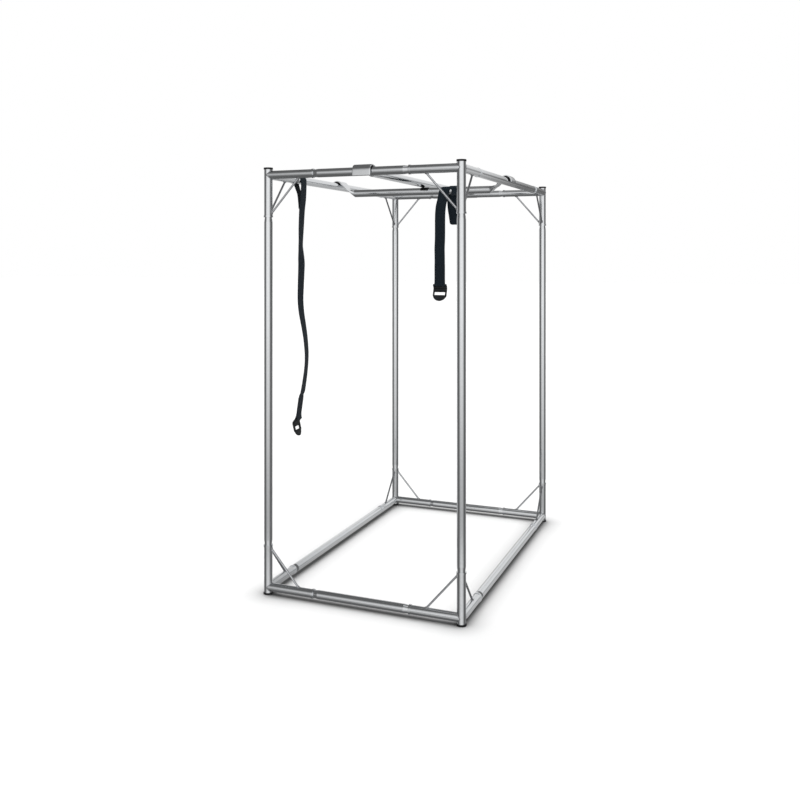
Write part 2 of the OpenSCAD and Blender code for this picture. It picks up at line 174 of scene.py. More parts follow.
@dataclass(frozen=True)
class ZincSteel:
    """Bright zinc-plated drawn steel: a mirror with soft die lines along the tube and a faint spangle.

    The stain starts and is full at two levels of the spangle. Relief is the bump's strength and depth.
    """

    name: str
    colour: str
    stain: str
    roughness: float
    run: Axis | None = None
    spangle: float = 7 * MM
    stained: tuple[float, float] = (0.45, 0.8)
    die_line: float = 1.4 * MM
    die_length: float = 180 * MM
    gloss_spread: tuple[float, float] = (0.8, 1.3)
    relief: tuple[float, float] = (0.6, 0.003 * MM)

    def material(self) -> bpy.types.Material:
        """Builds the finish: spangle tints the colour, die lines along the run vary gloss and bump."""
        material, tree, out = new_material(self.name)
        place = add_node(tree, "TexCoord", {}, {}).outputs["Object"]
        spangle = add_node(tree, "TexNoise", {"Scale": 1 / self.spangle, "Detail": 3.0}, {0: place})
        stain = add_node(tree, "MapRange", {1: self.stained[0], 2: self.stained[1]}, {0: spangle})
        stretch = [1 / self.die_line] * 3
        if self.run is not None:
            stretch[self.run.value] = 1 / self.die_length
        lined = add_node(tree, "Mapping", {"Scale": stretch}, {0: place})
        lines = add_node(tree, "TexNoise", {"Scale": 1.0, "Detail": 2.0}, {0: lined})
        low, high = (self.roughness * share for share in self.gloss_spread)
        gloss = add_node(tree, "MapRange", {**NOISE_SPAN, 3: low, 4: high}, {0: lines})
        colours, links = (self.colour, self.stain), {"Roughness": gloss}
        lay_surface(tree, out, colours, stain, self.relief, lines, {"Metallic": 1.0}, links)
        return material


@dataclass(frozen=True)
class MouldedPlastic:
    """Injection-moulded black polypropylene: a spark-eroded grain, a satin sheen and rubbed patches.

    Wear starts and is full at two levels of the patches. Relief is the bump's strength and depth.
    """

    name: str
    colour: str
    rubbed: str
    roughness: float
    grain: float = 0.6 * MM
    patch: float = 14 * MM
    worn: tuple[float, float] = (0.5, 0.75)
    gloss_spread: tuple[float, float] = (0.8, 1.2)
    relief: tuple[float, float] = (0.5, 0.05 * MM)
    ior: float = 1.49

    def material(self) -> bpy.types.Material:
        """Builds the finish: rubbed patches lighten the colour, and the grain is bump and gloss."""
        material, tree, out = new_material(self.name)
        place = add_node(tree, "TexCoord", {}, {}).outputs["Object"]
        grain = add_node(tree, "TexNoise", {"Scale": 1 / self.grain, "Detail": 2.0}, {0: place})
        patch = add_node(tree, "TexNoise", {"Scale": 1 / self.patch, "Detail": 4.0}, {0: place})
        worn = add_node(tree, "MapRange", {1: self.worn[0], 2: self.worn[1]}, {0: patch})
        low, high = (self.roughness * share for share in self.gloss_spread)
        gloss = add_node(tree, "MapRange", {**NOISE_SPAN, 3: low, 4: high}, {0: grain})
        colours, links = (self.colour, self.rubbed), {"Roughness": gloss}
        lay_surface(tree, out, colours, worn, self.relief, grain, {"IOR": self.ior}, links)
        return material


@dataclass(frozen=True)
class WovenWebbing:
    """Flat woven polypropylene webbing: twill ribs along the strap, dull, with a soft edge sheen.

    The UV map holds the place across the width and along the length, both in webbing widths. Relief is the
    bump's strength and depth, and sheen its weight and roughness.
    """

    name: str
    colour: str
    painted_crest_highlight: str
    ribs: float = 7.0
    # Real twill threads are about 1 mm; they are drawn 2.5 mm apart so that they show
    thread: float = 2.5 * MM
    fuzz: float = 0.6 * MM
    relief: tuple[float, float] = (0.8, 0.25 * MM)
    roughness: float = 0.85
    ior: float = 1.49
    specular: float = 0.3
    sheen: tuple[float, float] = (0.05, 0.5)

    def material(self) -> bpy.types.Material:
        """Builds the finish: rib bands across the width and slanted threads along it, with a painted
        highlight on the thread crests.
        """
        material, tree, out = new_material(self.name)
        place = add_node(tree, "UVMap", {"uv_map": "webbing"}, {})
        across, along = add_node(tree, "SeparateXYZ", {}, {0: place}).outputs[:2]
        rib = add_node(tree, "Math", {"operation": "MULTIPLY", 1: self.ribs}, {0: across})
        zigzag = add_node(tree, "Math", {"operation": "PINGPONG", 1: 1.0}, {0: rib})
        pitch = WEBBING_W / self.thread
        rows = add_node(tree, "Math", {"operation": "MULTIPLY", 1: pitch}, {0: along})
        slant = add_node(tree, "Math", {"operation": "ADD"}, {0: rows, 1: zigzag})
        phase = add_node(tree, "Math", {"operation": "MULTIPLY", 1: 2 * math.pi}, {0: slant})
        threads = add_node(tree, "Math", {"operation": "SINE"}, {0: phase})
        level = add_node(tree, "MapRange", {1: -1.0, 2: 1.0}, {0: threads})
        fine = WEBBING_W / self.fuzz
        fuzz = add_node(tree, "TexNoise", {"Scale": fine, "Detail": 3.0}, {0: place})
        # Painted highlight: the lighter crest colour follows the thread height, so thread tops are painted
        # light and the grooves between them dark, broken up at random by the fuzz
        shade = add_node(tree, "Math", {"operation": "MULTIPLY"}, {0: level, 1: fuzz})
        settings = {
            "Roughness": self.roughness,
            "IOR": self.ior,
            "Specular IOR Level": self.specular,
            "Sheen Weight": self.sheen[0],
            "Sheen Roughness": self.sheen[1],
        }
        lay_surface(tree, out, (self.colour, self.painted_crest_highlight), shade, self.relief, level, settings, {})
        return material


# Drawn tube: a bright mirror, streaked along its run
POLE_STEEL = {
    run: ZincSteel(f"zinc_steel_pole_{run.name.lower()}", "#E6E8EA", "#DFE1E3", 0.1, run) for run in Axis
}
# Worked steel, plated after welding or pressing: as bright, but with no one grain
FITTING_STEEL = ZincSteel("zinc_steel_fitting", "#E4E6E8", "#DBDDDF", 0.11)
BAR_STEEL = ZincSteel("zinc_steel_pressed_bar", "#E6E8EA", "#DEE0E2", 0.11)
# Thin rod and weld metal: greyer and softer
ROD_STEEL = ZincSteel("zinc_steel_rod", "#D4D6D9", "#C2C4C8", 0.18)
WELD_STEEL = ZincSteel("zinc_steel_weld", "#BDBEC1", "#9FA0A3", 0.3, spangle=3 * MM)
# Satin black mouldings, and a dead black rubber
CAP_PLASTIC = MouldedPlastic("moulded_black_cap", "#141517", "#1F2022", 0.5)
FOOT_PLASTIC = MouldedPlastic("moulded_black_foot", "#131416", "#222326", 0.55)
BUCKLE_PLASTIC = MouldedPlastic("moulded_black_buckle", "#11161A", "#1A2026", 0.55)
LINER_RUBBER = MouldedPlastic("moulded_black_rubber", "#0C0C0D", "#151516", 0.75)
# Blue-black webbing with a lighter colour that paints highlight on its thread crests, and thread that is a
# shade lighter
STRAP_WEBBING = WovenWebbing("woven_black_webbing", "#111B23", "#1F2D38")
SEWING_THREAD = MouldedPlastic("spun_black_thread", "#1B1F25", "#2A2F37", 0.7, grain=0.4 * MM, patch=5 * MM)


@dataclass
class Shell:
    """Collects grids of points into one mesh."""

    name: str
    points: list[np.ndarray] = field(default_factory=list)
    faces: list[list[int]] = field(default_factory=list)
    uvs: list[np.ndarray] = field(default_factory=list)
    count: int = 0

    def add_loops(self, loops: np.ndarray, uv: np.ndarray | None = None) -> None:
        """Adds a closed skin over a row of rings, with a flat cap on each end ring.

        Args:
            loops: Points as rings by places round the ring by three.
            uv: Two texture coordinates for each point, or None.
        """
        rings, sides = loops.shape[:2]
        index = self.count + np.arange(rings * sides).reshape(rings, sides)
        turned = np.roll(index, -1, axis=1)
        walls = np.stack([index[:-1], turned[:-1], turned[1:], index[1:]], axis=-1)
        self.faces += walls.reshape(-1, 4).tolist()
        self.faces += [index[0, ::-1].tolist(), index[-1].tolist()]
        self.points.append(loops.reshape(-1, 3))
        self.uvs.append(np.zeros((rings * sides, 2)) if uv is None else uv.reshape(-1, 2))
        self.count += rings * sides

    def build(self, finish: bpy.types.Material, sharp_deg: float = 40.0) -> bpy.types.Object:
        """Makes the mesh object, shaded smooth up to an angle, with its faces outwards.

        Args:
            finish: The material that covers it.
            sharp_deg: The angle past which an edge stays sharp.

        Returns:
            The new object, at the origin.
        """
        mesh = bpy.data.meshes.new(self.name)
        mesh.from_pydata(np.concatenate(self.points).tolist(), [], self.faces)
        corners = np.zeros(len(mesh.loops), np.int32)
        mesh.loops.foreach_get("vertex_index", corners)
        layer = mesh.uv_layers.new(name="webbing")
        layer.uv.foreach_set("vector", np.concatenate(self.uvs)[corners].astype(np.float32).ravel())
        mesh.shade_smooth()
        mesh.set_sharp_from_angle(angle=math.radians(sharp_deg))
        mesh.materials.append(finish)
        mesh.update()
        piece = bpy.data.objects.new(self.name, mesh)
        bpy.context.scene.collection.objects.link(piece)
        return piece


def settle(piece: bpy.types.Object, body: str, slot: str, *nodes: str) -> bpy.types.Object:
    """Lets a new piece ride on its body and stand for CAD nodes.

    Args:
        piece: The new piece.
        body: The CAD body that it moves with.
        slot: Not used.
        nodes: The CAD nodes that it stands for.

    Returns:
        The piece.
    """
    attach(piece, body)
    if nodes:
        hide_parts(*nodes)
    LOG.info("%s rides on %s", piece.name, body)
    return piece


def unit(vectors: np.ndarray) -> np.ndarray:
    """Scales each row to length one."""
    return vectors / np.linalg.norm(vectors, axis=-1, keepdims=True)


def spline(points: np.ndarray, step: float) -> np.ndarray:
    """Runs a smooth curve through points, the Catmull-Rom form, at about even steps.

    Args:
        points: Rows to pass through; the first three columns are the place.
        step: The spacing wanted along the curve.

    Returns:
        The rows along the curve.
    """
    ends = np.vstack([2 * points[0] - points[1], points, 2 * points[-1] - points[-2]])
    rows = []
    for a, b, c, d in zip(ends[:-3], ends[1:-2], ends[2:-1], ends[3:]):
        count = max(2, math.ceil(np.linalg.norm((c - b)[:3]) / step))
        t = np.arange(count)[:, None] / count
        bend = 2 * a - 5 * b + 4 * c - d
        rows.append(0.5 * (2 * b + (c - a) * t + bend * t**2 + (3 * b - a - 3 * c + d) * t**3))
    return np.vstack([*rows, points[-1:]])


def headings(line: np.ndarray) -> np.ndarray:
    """Gives the direction of a line at each of its points."""
    return unit(np.gradient(line, axis=0))


def lengths(line: np.ndarray) -> np.ndarray:
    """Gives how far along a line each of its points is."""
    return np.concatenate([[0], np.cumsum(np.linalg.norm(np.diff(line, axis=0), axis=1))])


def superellipse(
    centres: np.ndarray,
    across: np.ndarray,
    out: np.ndarray,
    half_w: np.ndarray | float,
    half_t: np.ndarray | float,
    power: np.ndarray | float,
    sides: int,
) -> np.ndarray:
    """Carries a superellipse along a path: a power of 2 is an ellipse, and higher ones are squarer.

    Args:
        centres: The path's points.
        across: The width direction, at each point or for all.
        out: The thickness direction, likewise.
        half_w: Half the width, likewise.
        half_t: Half the thickness, likewise.
        power: The superellipse's power, likewise.
        sides: How many places there are round each ring.

    Returns:
        Rings of points.
    """
    turn = np.arange(sides) * 2 * math.pi / sides
    bend = (2 / np.broadcast_to(power, len(centres)))[:, None]
    half_w, half_t = (np.broadcast_to(half, len(centres))[:, None] for half in (half_w, half_t))
    w = np.sign(np.cos(turn)) * np.abs(np.cos(turn)) ** bend * half_w
    t = np.sign(np.sin(turn)) * np.abs(np.sin(turn)) ** bend * half_t
    across, out = np.broadcast_to(across, centres.shape), np.broadcast_to(out, centres.shape)
    return centres[:, None] + w[..., None] * across[:, None] + t[..., None] * out[:, None]


def smoothstep(low: float, high: float, x: np.ndarray) -> np.ndarray:
    """Rises smoothly from 0 at low to 1 at high."""
    t = np.clip((x - low) / (high - low), 0, 1)
    return t * t * (3 - 2 * t)


@dataclass
class TubeFrame:
    """The poles, fittings, brace rods and liners, which keep their CAD shapes and get their finishes."""

    nodes: dict[str, bpy.types.Object]

    def dress(self, rubber: bpy.types.Material) -> None:
        """Gives each of these nodes the finish for what it is and for the way that it runs.

        Args:
            rubber: The liners' material.
        """
        wears = {"corner": FITTING_STEEL.material(), "gussets": ROD_STEEL.material(), "liners": rubber}
        poles = {run: finish.material() for run, finish in POLE_STEEL.items()}
        for name, node in self.nodes.items():
            side, *_, kind = name.split("_")
            if kind == "post":
                self.cover(node, poles[Axis.Z])
            elif kind == "rail":
                self.cover(node, poles[Axis.X if side in ("front", "back") else Axis.Y])
            elif kind in wears:
                self.cover(node, wears[kind])

    def cover(self, node: bpy.types.Object, finish: bpy.types.Material) -> None:
        """Puts a finish in a CAD node's material slots."""
        node.data.materials.clear()
        node.data.materials.append(finish)
        LOG.info("%s wears %s", node.name, finish.name)


@dataclass
class Welds:
    """The weld beads of one corner fitting: along the coped stubs and round the ends of its brace rods."""

    x_side: int
    y_side: int
    z_side: int
    bead_r: float = 1.1 * MM
    rod_bead_r: float = 1.8 * MM
    rod_r: float = 3 * MM
    ripple: float = 2.6 * MM
    swell: float = 0.2
    end_share: float = 0.3
    # A direction that no seam runs in
    skew: tuple[float, float, float] = (0.31, 0.53, 0.79)
    x_rod: tuple[float, float] = (126 * MM, 111 * MM)
    y_rod: tuple[float, float] = (124 * MM, 110 * MM)

    def axes(self) -> tuple[np.ndarray, np.ndarray, np.ndarray, np.ndarray]:
        """Gives the fitting's middle and the directions of its two rail stubs and its post stub."""
        z = TOP_Z if self.z_side > 0 else BOTTOM_Z
        middle = np.array([self.x_side * FRAME_W / 2, self.y_side * FRAME_D / 2, z])
        return middle, *(np.diag([-self.x_side, -self.y_side, -self.z_side]).astype(float))

    def bead(self, shell: Shell, line: np.ndarray, size: float) -> None:
        """Lays a rippled bead along a line: its radius swells once in each ripple's length.

        Args:
            shell: The mesh that takes the bead.
            line: Points along the seam.
            size: The bead's mean radius.
        """
        steps = spline(line, self.ripple / 5)
        radius = size * (1 + self.swell * np.sin(2 * math.pi * lengths(steps) / self.ripple))
        radius[[0, -1]] *= self.end_share
        ahead = headings(steps)
        side = unit(np.cross(ahead, self.skew))
        shell.add_loops(superellipse(steps, side, np.cross(ahead, side), radius, radius, 2.0, 8))

    def stub_seams(self) -> list[np.ndarray]:
        """Traces where the three equal tubes meet: on each pair, both tubes' circles share one height."""
        middle, x, y, z = self.axes()
        open_turn = np.radians(np.linspace(45, 315, 40))[:, None]
        corner_turn = np.radians(np.linspace(-45, 45, 16))[:, None]
        cos, sin = np.cos(open_turn), np.sin(open_turn)
        return [
            middle + TUBE_R * (np.abs(sin) * x + cos * y + sin * z),
            middle + TUBE_R * (np.abs(sin) * y + cos * x + sin * z),
            middle + TUBE_R * (np.cos(corner_turn) * (x + y) + np.sin(corner_turn) * z),
        ]

    def rod_seams(self) -> list[np.ndarray]:
        """Traces each rod's end on its tube: where each line of the rod leaves the tube's circle."""
        middle, x, y, z = self.axes()
        turn = np.linspace(0, 2 * math.pi, 25)[:, None]
        seams = []
        for rail, (up, along) in ((x, self.x_rod), (y, self.y_rod)):
            side = np.cross(rail, z)
            for start, far, tube in ((up * z, along * rail, z), (along * rail, up * z, rail)):
                ahead = unit(far - start)
                rim = start + self.rod_r * (np.cos(turn) * side + np.sin(turn) * np.cross(ahead, side))
                flat, slope = rim - (rim @ tube)[:, None] * tube, ahead - (ahead @ tube) * tube
                a, b, c = slope @ slope, flat @ slope, (flat**2).sum(1) - TUBE_R**2
                seams.append(middle + rim + ((np.sqrt(b**2 - a * c) - b) / a)[:, None] * ahead)
        return seams

    def make(self, finish: bpy.types.Material) -> bpy.types.Object:
        """Builds all the beads of this corner as one piece.

        Args:
            finish: The weld's material.

        Returns:
            The piece, riding with its fitting.
        """
        depth, side = "front" if self.y_side < 0 else "back", "left" if self.x_side < 0 else "right"
        level = "top" if self.z_side > 0 else "bottom"
        shell = Shell(f"{depth}_{side}_{level}_welds")
        for seam in self.stub_seams():
            self.bead(shell, seam, self.bead_r)
        for seam in self.rod_seams():
            self.bead(shell, seam, self.rod_bead_r)
        body = "top_ring" if self.z_side > 0 else "base"
        return settle(shell.build(finish, 60), body, "fitting_steel")


@dataclass
class RoofBar:
    """A roof tube whose ends are pressed flat, bent over a rail and turned down as a flap."""

    name: str
    span: float
    axis_z: float
    slope: float
    flap: float
    middle: tuple[float, float, float]
    along_y: bool
    saddle_in: float = 16.8 * MM
    saddle_w: float = 56 * MM
    tongue_w: float = 38 * MM
    press_len: float = 25 * MM
    bend: float = 3 * MM
    # How deep the crushed underside dishes, as a share, and how much of the width that takes
    dish: float = 0.4
    dish_w: float = 0.55
    sides: int = 48

    def level(self) -> tuple[float, float, float]:
        """Gives the plate's radius over a rail, its height at the tube's top, and where it turns level."""
        plate_r = self.saddle_in + TUBE_WALL
        plate_z = self.axis_z + TUBE_R - TUBE_WALL
        fall = (plate_r * math.cos(self.slope) - plate_z) / math.tan(self.slope)
        return plate_r, plate_z, self.span / 2 - (fall + plate_r * math.sin(self.slope))

    def half_line(self) -> np.ndarray:
        """Draws half the plate's middle line, out from the bar's centre to the flap, as rows of x and z."""
        plate_r, plate_z, level = self.level()
        turn = np.linspace(math.pi / 2 + self.slope, 0, 22)
        arc = np.stack([self.span / 2 + plate_r * np.cos(turn), plate_r * np.sin(turn)], axis=1)
        tube = np.linspace(0, level - self.press_len, 14)[:-1]
        flat = np.concatenate([tube, np.linspace(level - self.press_len, level - self.bend, 24)])
        knee = np.array([level, plate_z]) + self.bend * np.array([math.cos(self.slope), math.sin(self.slope)])
        ramp = knee + (arc[0] - knee) * np.linspace(0, 1, 9)[:-1, None]
        flap = np.linspace(0, -self.flap, 4)[1:]
        return np.vstack(
            [
                np.stack([flat, np.full_like(flat, plate_z)], axis=1),
                ramp,
                arc,
                np.stack([np.full_like(flap, self.span / 2 + plate_r), flap], axis=1),
            ]
        )

    def rings(self) -> np.ndarray:
        """Carries the section along the line: a circle whose underside is pressed up to make a wide plate.

        Returns:
            Rings of points in the bar's own frame, x along it, y across and z up.
        """
        half = self.half_line()
        level = self.level()[2]
        pressed = smoothstep(level - self.press_len, level, half[:, 0])
        flare = smoothstep(level, self.span / 2 - self.saddle_in, half[:, 0])
        half_w = TUBE_R + pressed * (self.tongue_w / 2 - TUBE_R)
        half_w += flare * (self.saddle_w - self.tongue_w) / 2
        half_t = TUBE_R + pressed * (TUBE_WALL - TUBE_R)
        line = np.vstack([half[:0:-1] * [-1, 1], half])
        half_w, half_t, pressed = (np.concatenate([v[:0:-1], v]) for v in (half_w, half_t, pressed))
        guide = np.stack([line[:, 0], np.zeros(len(line)), line[:, 1]], axis=1)
        out = np.cross(headings(guide), Y_AXIS)
        centres = guide - np.outer(half_t - TUBE_WALL, Z_AXIS)
        loops = superellipse(centres, Y_AXIS, out, half_w, half_t, 2 + 8 * pressed**2, self.sides)
        # The crushed underside dishes inwards while the folded edges stay round
        dish = self.dish * 4 * pressed * (1 - pressed)
        hollow = dish[:, None] * np.exp(-((loops[..., 1] / (self.dish_w * half_w[:, None])) ** 2))
        offset = np.minimum(((loops - centres[:, None]) * out[:, None]).sum(-1), 0)
        return loops - (offset * hollow)[..., None] * out[:, None]

    def make(self, finish: bpy.types.Material) -> bpy.types.Object:
        """Builds the bar in place of its CAD node.

        Args:
            finish: The bar's material.

        Returns:
            The piece, riding with its body.
        """
        loops = self.rings()
        if self.along_y:
            loops = np.stack([-loops[..., 1], loops[..., 0], loops[..., 2]], axis=-1)
        shell = Shell(f"{self.name}_pressed_tube")
        shell.add_loops(loops + np.array(self.middle))
        return settle(shell.build(finish), self.name, "bar_steel", self.name)


@dataclass
class RestPad:
    """A rubber rest that is stuck round the top and front of the cross bar, under the depth bar."""

    left: float = 3 * MM
    right: float = 31 * MM
    thick: float = 2.6 * MM
    start_deg: float = 8.0
    end_deg: float = 78.0
    clear: float = 0.2 * MM
    glue: float = 0.03 * MM
    rounding: float = 0.6 * MM
    end_share: float = 0.6
    # The part of a half wave that the thickness follows round the arc
    hump: tuple[float, float] = (0.25, 0.95)
    sides: int = 19

    def make(self, finish: bpy.types.Material) -> bpy.types.Object:
        """Builds the strip: an arc round the tube, as thick as the depth bar above leaves room for.

        Args:
            finish: The rubber.

        Returns:
            The piece, riding with the cross bar.
        """
        turn = np.radians(np.linspace(self.start_deg, self.end_deg, self.sides))
        ceiling = DEPTH_BAR_RISE + CROSS_BAR_DROP - TUBE_R - self.clear
        ends = np.array([self.end_share, 1.0, 1.0, self.end_share])[:, None]
        swell = ends * np.sin(np.linspace(*self.hump, self.sides) * math.pi) ** 0.5
        outer = np.minimum(TUBE_R + self.thick * swell, ceiling / np.cos(turn))
        radius = np.hstack([outer, np.full_like(outer, TUBE_R + self.glue)])
        around = np.concatenate([turn, turn[::-1]])
        places = [self.left, self.left + self.rounding, self.right - self.rounding, self.right]
        x = np.repeat(np.array(places)[:, None], 2 * self.sides, axis=1)
        loops = np.stack([x, -radius * np.sin(around), radius * np.cos(around)], axis=-1)
        shell = Shell("cross_bar_rest_pad")
        shell.add_loops(loops + np.array([0, CROSS_BAR_Y, TOP_Z - CROSS_BAR_DROP]))
        return settle(shell.build(finish), "cross_bar", "liner_rubber")


@dataclass
class Stopper:
    """A moulded end plug of a post stub: a rounded rim outside and a plug up the bore."""

    name: str
    body: str
    slot: str
    at: tuple[float, float, float]
    up: int
    rim_r: float
    rim_h: float
    grooves: int
    plug_r: float = 10.8 * MM
    plug_len: float = 14 * MM
    rounding: float = 1 * MM
    seat: float = 0.4 * MM
    groove_depth: float = 0.35 * MM
    sides: int = 56

    def profile(self) -> np.ndarray:
        """Draws the outline: from the face's centre out, round the rim and up the plug.

        Returns:
            Rows of radius and height.
        """
        turn = np.linspace(-math.pi / 2, 0, 7)
        corner_r = self.rim_r - self.rounding + self.rounding * np.cos(turn)
        heights = np.linspace(self.rounding, self.rim_h - self.seat, 8 * max(1, self.grooves) + 1)[1:]
        share = (heights - self.rounding) / (self.rim_h - self.rounding)
        groove = self.groove_depth * (1 - np.cos(2 * math.pi * self.grooves * share)) / 2
        # The face has a moulding gate's ring at its centre and a shallow step near its edge
        face_r = np.array([0.02, 0.2, 0.22, 0.45, 0.72, 0.74]) * self.rim_r
        face_z = np.array([0.5, 0.5, 0.1, 0.1, 0.1, 0.0]) * MM
        tip = self.rim_h + self.plug_len
        return np.vstack(
            [
                np.stack([face_r, face_z], axis=1),
                np.stack([corner_r, self.rounding * (1 + np.sin(turn))], axis=1),
                np.stack([self.rim_r - groove, heights], axis=1),
                [[self.rim_r - self.seat, self.rim_h], [self.plug_r, self.rim_h]],
                [[self.plug_r, tip - self.rounding], [self.plug_r - self.rounding, tip]],
            ]
        )

    def make(self, finish: bpy.types.Material) -> bpy.types.Object:
        """Turns the outline about the post's axis in place of the CAD node.

        Args:
            finish: The plastic.

        Returns:
            The piece, riding with its body.
        """
        outline = self.profile()
        turn = np.arange(self.sides) * 2 * math.pi / self.sides * self.up
        radius, height = outline[:, :1], outline[:, 1:] * self.up
        height = np.repeat(height, self.sides, axis=1)
        loops = np.stack([radius * np.cos(turn), radius * np.sin(turn), height], axis=-1)
        shell = Shell(f"{self.name}_moulding")
        shell.add_loops(loops + np.array(self.at))
        return settle(shell.build(finish), self.body, self.slot, self.name)


@dataclass
class BuckleFrame:
    """The place of a buckle's top bar, with the directions of the sewn end that turns round it."""

    bar: np.ndarray
    turn_deg: float
    tilt_deg: float

    def axes(self) -> tuple[np.ndarray, np.ndarray, np.ndarray]:
        """Gives the face, width and up directions."""
        turn, tilt = math.radians(self.turn_deg), math.radians(self.tilt_deg)
        level = np.array([math.sin(turn), -math.cos(turn), 0.0])
        return (
            math.cos(tilt) * level - math.sin(tilt) * Z_AXIS,
            np.array([math.cos(turn), math.sin(turn), 0.0]),
            math.sin(tilt) * level + math.cos(tilt) * Z_AXIS,
        )

    def place(self, local: np.ndarray) -> np.ndarray:
        """Turns points of face, width and height from the bar into the frame."""
        face, width, up = self.axes()
        return self.bar + local[..., :1] * face + local[..., 1:2] * width + local[..., 2:] * up


@dataclass
class Strap:
    """One webbing strap: its tail, its lap over a tube, its drop and its sewn fold round a buckle's bar."""

    name: str
    route: np.ndarray
    turns: np.ndarray
    sewn: BuckleFrame
    rests_on: str
    corner: float = 7 * MM
    squareness: float = 7.0
    sides: int = 44

    def fold(self) -> np.ndarray:
        """Draws the sewn end in the buckle's frame: down the front, round the bar and up the back."""
        lap_r = BUCKLE_BAR_R + WEBBING_GAP + WEBBING_T / 2
        half = WEBBING_T / 2 + 0.05 * MM
        turn = np.radians(np.linspace(15, -195, 15))
        round_bar = np.stack([lap_r * np.cos(turn), np.zeros(15), lap_r * np.sin(turn)], axis=1)
        front = [[half, 0, z * MM] for z in (66, 54, 42, 30, 18)] + [[half + 0.9 * MM, 0, 9.5 * MM]]
        back = [[-x, 0, z] for x, _, z in front[::-1]] + [[-half, 0, SEWN_LEN - 3 * MM]]
        return np.vstack([front, round_bar, back])

    def line(self) -> tuple[np.ndarray, np.ndarray]:
        """Joins the route and the fold into one smooth line with the width direction at each point."""
        fold = self.sewn.place(self.fold())
        rows = np.vstack([self.route, fold])
        turns = np.concatenate([self.turns, np.full(len(fold), self.sewn.turn_deg)])
        smooth = spline(np.column_stack([rows, turns]), 2.5 * MM)
        angle = np.radians(smooth[:, 3])
        return smooth[:, :3], np.stack([np.cos(angle), np.sin(angle), np.zeros_like(angle)], axis=1)

    def make(self, webbing: bpy.types.Material, thread: bpy.types.Material) -> list[bpy.types.Object]:
        """Builds the strap and its stitching in place of the CAD nodes.

        Args:
            webbing: The strap's material.
            thread: The stitching's material.

        Returns:
            The strap and its stitching.
        """
        line, across = self.line()
        run = lengths(line)
        out = unit(np.cross(headings(line), across))
        # The tail's cut end has rounded corners: the width draws in over the last few millimetres
        short = np.clip(self.corner - run, 0, self.corner)
        half_w = WEBBING_W / 2 - (self.corner - np.sqrt(np.clip(self.corner**2 - short**2, 0, None)))
        loops = superellipse(line, across, out, half_w, WEBBING_T / 2, self.squareness, self.sides)
        place = ((loops - line[:, None]) * across[:, None]).sum(-1) / WEBBING_W + 0.5
        uv = np.stack([place, np.repeat(run[:, None] / WEBBING_W, self.sides, axis=1)], axis=-1)
        shell = Shell(f"{self.name}_webbing")
        shell.add_loops(loops, uv)
        strap = settle(shell.build(webbing, 50), self.name, "webbing", self.name, f"{self.name}_loop")
        stitching = self.stitching(thread)
        LOG.info("%s is cut from %.3f m of webbing", self.name, run[-1])
        return [strap, stitching]

    def stitching(self, thread: bpy.types.Material) -> bpy.types.Object:
        """Sews a crossed box through both layers: short round stitches on the front and back faces.

        Args:
            thread: The thread's material.

        Returns:
            The stitching, riding with the strap.
        """
        w, low, high = 13 * MM, 16 * MM, SEWN_LEN - 7 * MM
        box = np.array([(-w, low), (w, low), (w, high), (-w, high)])
        pitch, length, radius, rise = 3.4 * MM, 2.6 * MM, 0.45 * MM, WEBBING_T + 0.12 * MM
        steps = np.linspace(-1, 1, 5)
        fat = radius * np.sqrt(np.clip(1.02 - steps**2, 0, None))
        shell = Shell(f"{self.name}_stitching")
        for face in (1, -1):
            for a, b in ((0, 1), (1, 2), (2, 3), (3, 0), (0, 2), (1, 3)):
                seam = box[b] - box[a]
                ahead = unit(seam)
                side = np.array([0.0, -ahead[1], ahead[0]])
                count = max(2, round(np.linalg.norm(seam) / pitch))
                for share in (np.arange(count) + 0.5) / count:
                    flat = box[a] + seam * share + steps[:, None] * length / 2 * ahead
                    centres = np.column_stack([np.full(5, face * rise), flat])
                    rings = superellipse(centres, side, X_AXIS, fat, fat, 2.0, 6)
                    shell.add_loops(self.sewn.place(rings))
        return settle(shell.build(thread, 80), self.name, "webbing")


